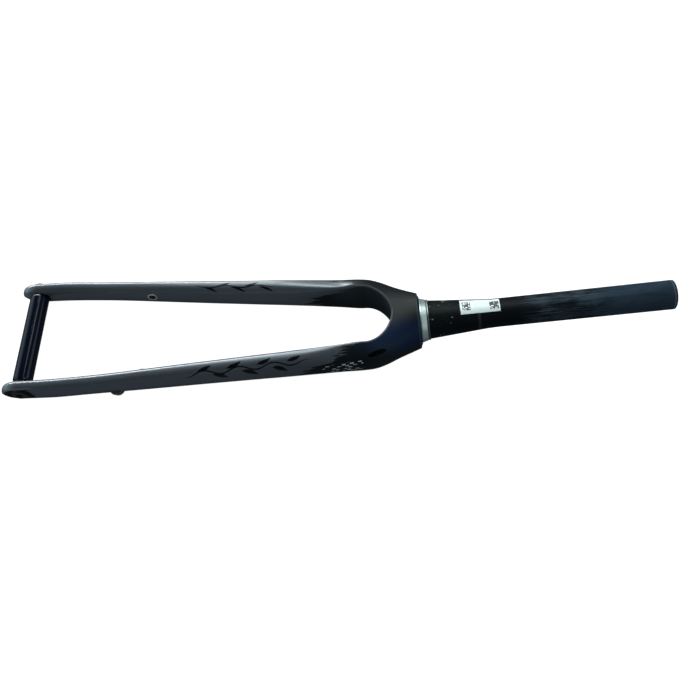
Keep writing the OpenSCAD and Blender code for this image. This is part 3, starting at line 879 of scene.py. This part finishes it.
at_ = lambda l, i, j: l * m_ + i * (nb_ + 1) + j
for i in range(na):
    for j in range(nb_):
        F.append((at_(1, i, j), at_(1, i + 1, j), at_(1, i + 1, j + 1), at_(1, i, j + 1)))
        F.append((at_(0, i, j), at_(0, i, j + 1), at_(0, i + 1, j + 1), at_(0, i + 1, j)))
for i in range(na):
    F.append((at_(0, i, 0), at_(0, i + 1, 0), at_(1, i + 1, 0), at_(1, i, 0)))
    F.append((at_(0, i, nb_), at_(1, i, nb_), at_(1, i + 1, nb_), at_(0, i + 1, nb_)))
for j in range(nb_):
    F.append((at_(0, 0, j), at_(1, 0, j), at_(1, 0, j + 1), at_(0, 0, j + 1)))
    F.append((at_(0, na, j), at_(0, na, j + 1), at_(1, na, j + 1), at_(1, na, j)))
lab = new_obj("steerer_film", V, F)
fix_normals(lab)
attribute(lab, "la", la)
attribute(lab, "lb", lb)
shade(lab, 40, weighted=False)
give(lab, M_LABEL)
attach(lab, "root")
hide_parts("steerer_label")

# ---------------------------------------------------------------- CAD nodes that stay
for node, mat in (("thru_axle", M_AXLE), ("left_dropout_bush", M_AXLE), ("right_axle_insert", M_AXLE),
                  ("caliper_insert_upper", M_INSERT), ("caliper_insert_lower", M_INSERT),
                  ("hose_entry_grommet", M_RUBBER), ("hose_exit_grommet", M_RUBBER)):
    give(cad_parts[node], mat)

# ---------------------------------------------------------------- floor
me = bpy.data.meshes.new("floor")
me.from_pydata([(-6, -6, -0.0006), (6, -6, -0.0006), (6, 6, -0.0006), (-6, 6, -0.0006)], [], [(0, 1, 2, 3)])
floor = bpy.data.objects.new("floor", me)
bpy.context.scene.collection.objects.link(floor)
fm = Mat("pale_floor")
n = fm.noise(fm.P, 6, 2)
fm.set(Base_Color=fm.mix(n, (0.34, 0.34, 0.34), (0.36, 0.36, 0.36)))
fm.b.inputs["Roughness"].default_value = 0.9
fm.b.inputs["Specular IOR Level"].default_value = 0.0
fm.b.inputs["Emission Color"].default_value = (1, 1, 1, 1)
fm.b.inputs["Emission Strength"].default_value = 0.96
give(floor, fm.m)
floor.visible_diffuse = False
floor.visible_glossy = False

# pale dome as the backdrop, seen only by the camera
V, F = [(0.0, 0.0, 5.5)], []
for i in range(1, 13):
    for k in range(48):
        a_, b_ = math.pi / 2 * i / 12, 2 * math.pi * k / 48
        V.append((5.5 * math.sin(a_) * math.cos(b_), 5.5 * math.sin(a_) * math.sin(b_), 5.5 * math.cos(a_) - 0.01))
for k in range(48):
    F.append((0, 1 + k, 1 + (k + 1) % 48))
    for i in range(11):
        p_, q_ = 1 + 48 * i + k, 1 + 48 * i + (k + 1) % 48
        F.append((p_, p_ + 48, q_ + 48, q_))
me = bpy.data.meshes.new("backdrop")
me.from_pydata(V, [], F)
dome = bpy.data.objects.new("backdrop", me)
bpy.context.scene.collection.objects.link(dome)
dm = Mat("pale_backdrop")
n = dm.noise(dm.P, 2, 2)
dm.set(Base_Color=dm.mix(n, (0.0, 0.0, 0.0), (0.02, 0.02, 0.02)))
dm.b.inputs["Roughness"].default_value = 1.0
dm.b.inputs["Specular IOR Level"].default_value = 0.0
dm.b.inputs["Emission Color"].default_value = (1, 1, 1, 1)
dm.b.inputs["Emission Strength"].default_value = 1.0
give(dome, dm.m)
dome.visible_diffuse = False
dome.visible_glossy = False
dome.visible_shadow = False

# ---------------------------------------------------------------- light
scene = bpy.context.scene
scene.view_settings.view_transform = "Standard"
scene.view_settings.look = "None"
world = bpy.data.worlds.new("studio")
scene.world = world
world.use_nodes = True
wt = world.node_tree
wt.nodes.clear()
wo = wt.nodes.new("ShaderNodeOutputWorld")
bg = wt.nodes.new("ShaderNodeBackground")
wt.links.new(bg.outputs[0], wo.inputs[0])
tc2 = wt.nodes.new("ShaderNodeTexCoord")
sep = wt.nodes.new("ShaderNodeSeparateXYZ")
wt.links.new(tc2.outputs["Generated"], sep.inputs[0])


def wramp(sock, a, b):
    r = wt.nodes.new("ShaderNodeMapRange")
    r.interpolation_type = "SMOOTHSTEP"
    wt.links.new(sock, r.inputs["Value"])
    r.inputs["From Min"].default_value, r.inputs["From Max"].default_value = a, b
    return r.outputs["Result"]


def wmix(fac, a, b):
    n = wt.nodes.new("ShaderNodeMix")
    n.data_type = "RGBA"
    wt.links.new(fac, n.inputs[0])
    for k, v in ((6, a), (7, b)):
        if isinstance(v, tuple):
            n.inputs[k].default_value = v
        else:
            wt.links.new(v, n.inputs[k])
    return n.outputs[2]


def wmul(*socks):
    out = socks[0]
    for k in socks[1:]:
        n = wt.nodes.new("ShaderNodeMath")
        n.operation = "MULTIPLY"
        wt.links.new(out, n.inputs[0])
        wt.links.new(k, n.inputs[1])
        out = n.outputs[0]
    return out


# dark overhead, a pale band low behind the blades, and a pale wall beyond the steerer's end
X_, Y_, Z_ = sep.outputs["X"], sep.outputs["Y"], sep.outputs["Z"]
sky = wmix(wramp(Z_, -0.25, 0.5), (0.05, 0.06, 0.07, 1), (0.045, 0.062, 0.092, 1))
sky = wmix(wramp(Z_, 0.55, 0.95), sky, (0.014, 0.024, 0.048, 1))
band = wmix(wmul(wramp(Y_, 0.2, 0.6), wramp(Z_, 0.40, 0.10), wramp(Z_, -0.28, 0.0), wramp(X_, 0.10, -0.08)), sky, (0.40, 0.42, 0.43, 1))
left = wmix(wmul(wramp(X_, -0.50, -0.78), wramp(Z_, -0.1, 0.2)), band, (0.62, 0.72, 0.78, 1))
wall = wmix(wmul(wramp(X_, 0.38, 0.48), wramp(X_, 0.70, 0.60), wramp(Z_, -0.1, 0.1), wramp(Y_, 0.30, 0.0)), left, (1.0, 1.18, 1.14, 1))
wall = wmix(wmul(wramp(X_, 0.78, 0.84), wramp(X_, 0.94, 0.89), wramp(Z_, -0.05, 0.1)), wall, (0.62, 0.70, 0.78, 1))
wall = wmix(wmul(wramp(Y_, -0.25, -0.6), wramp(Z_, 0.6, 0.3), wramp(X_, 0.0, -0.15)), wall, (0.14, 0.16, 0.18, 1))
wall = wmix(wmul(wramp(Y_, -0.25, -0.6), wramp(Z_, 0.6, 0.3), wramp(X_, 0.15, 0.3)), wall, (0.16, 0.18, 0.21, 1))
wt.links.new(wall, bg.inputs[0])
bg.inputs[1].default_value = 1.0


def area(name, loc, target, size, size_y, power, color=(1, 1, 1)):
    d = bpy.data.lights.new(name, "AREA")
    d.shape = "RECTANGLE"
    d.size, d.size_y = size, size_y
    d.energy = power
    d.color = color
    o = bpy.data.objects.new(name, d)
    scene.collection.objects.link(o)
    o.location = loc
    o.rotation_euler = (Vector(target) - Vector(loc)).to_track_quat("-Z", "Y").to_euler()
    return o


area("key_softbox", (-1.0, 1.6, 0.44), (-0.15, 0, 0.03), 1.6, 0.46, 35, (0.98, 0.99, 0.985))


def spot(name, loc, target, half_angle, radius, power, color):
    d = bpy.data.lights.new(name, "SPOT")
    d.spot_size, d.spot_blend = 2 * math.radians(half_angle), 1.0
    d.shadow_soft_size = radius
    d.energy = power
    d.color = color
    o = bpy.data.objects.new(name, d)
    scene.collection.objects.link(o)
    o.location = loc
    o.rotation_euler = (Vector(target) - Vector(loc)).to_track_quat("-Z", "Y").to_euler()


spot("blade_spot", (-0.24, 0.60, 0.56), (-0.22, 0, 0.02), 24, 0.18, 7.5, (0.95, 1.0, 0.98))
spot("crown_spot", (0.08, 0.31, 0.55), (0.13, 0, 0.04), 32, 0.20, 11.5, (0.93, 1.0, 0.97))
area("race_softbox", (0.74, -0.92, 0.50), (0.09, 0, 0.03), 0.4, 0.4, 0.55, (0.93, 1.0, 0.98))
fill = area("fill_softbox", (0.0, -1.1, 1.5), (0, 0, 0.02), 2.4, 1.6, 3, (0.90, 0.96, 1.0))
fill.visible_glossy = False

# ---------------------------------------------------------------- camera
cam = bpy.data.cameras.new("camera")
cam.sensor_width = 36.0
cam.sensor_fit = "HORIZONTAL"
cam.lens = 36.053
cam.clip_start, cam.clip_end = 0.02, 50
co = bpy.data.objects.new("camera", cam)
scene.collection.objects.link(co)
R3 = np.array([[0.999563, -0.028317, -0.008427], [0.028917, 0.879196, 0.475582], [-0.006058, -0.475618, 0.879631]])
M = Matrix.Identity(4)
for i in range(3):
    for j in range(3):
        M[i][j] = R3[j][i]
M.translation = Vector((0.000833, -0.342141, 0.624044))
co.matrix_world = M
scene.camera = co

# ---------------------------------------------------------------- update the view layer
bpy.context.view_layer.update()
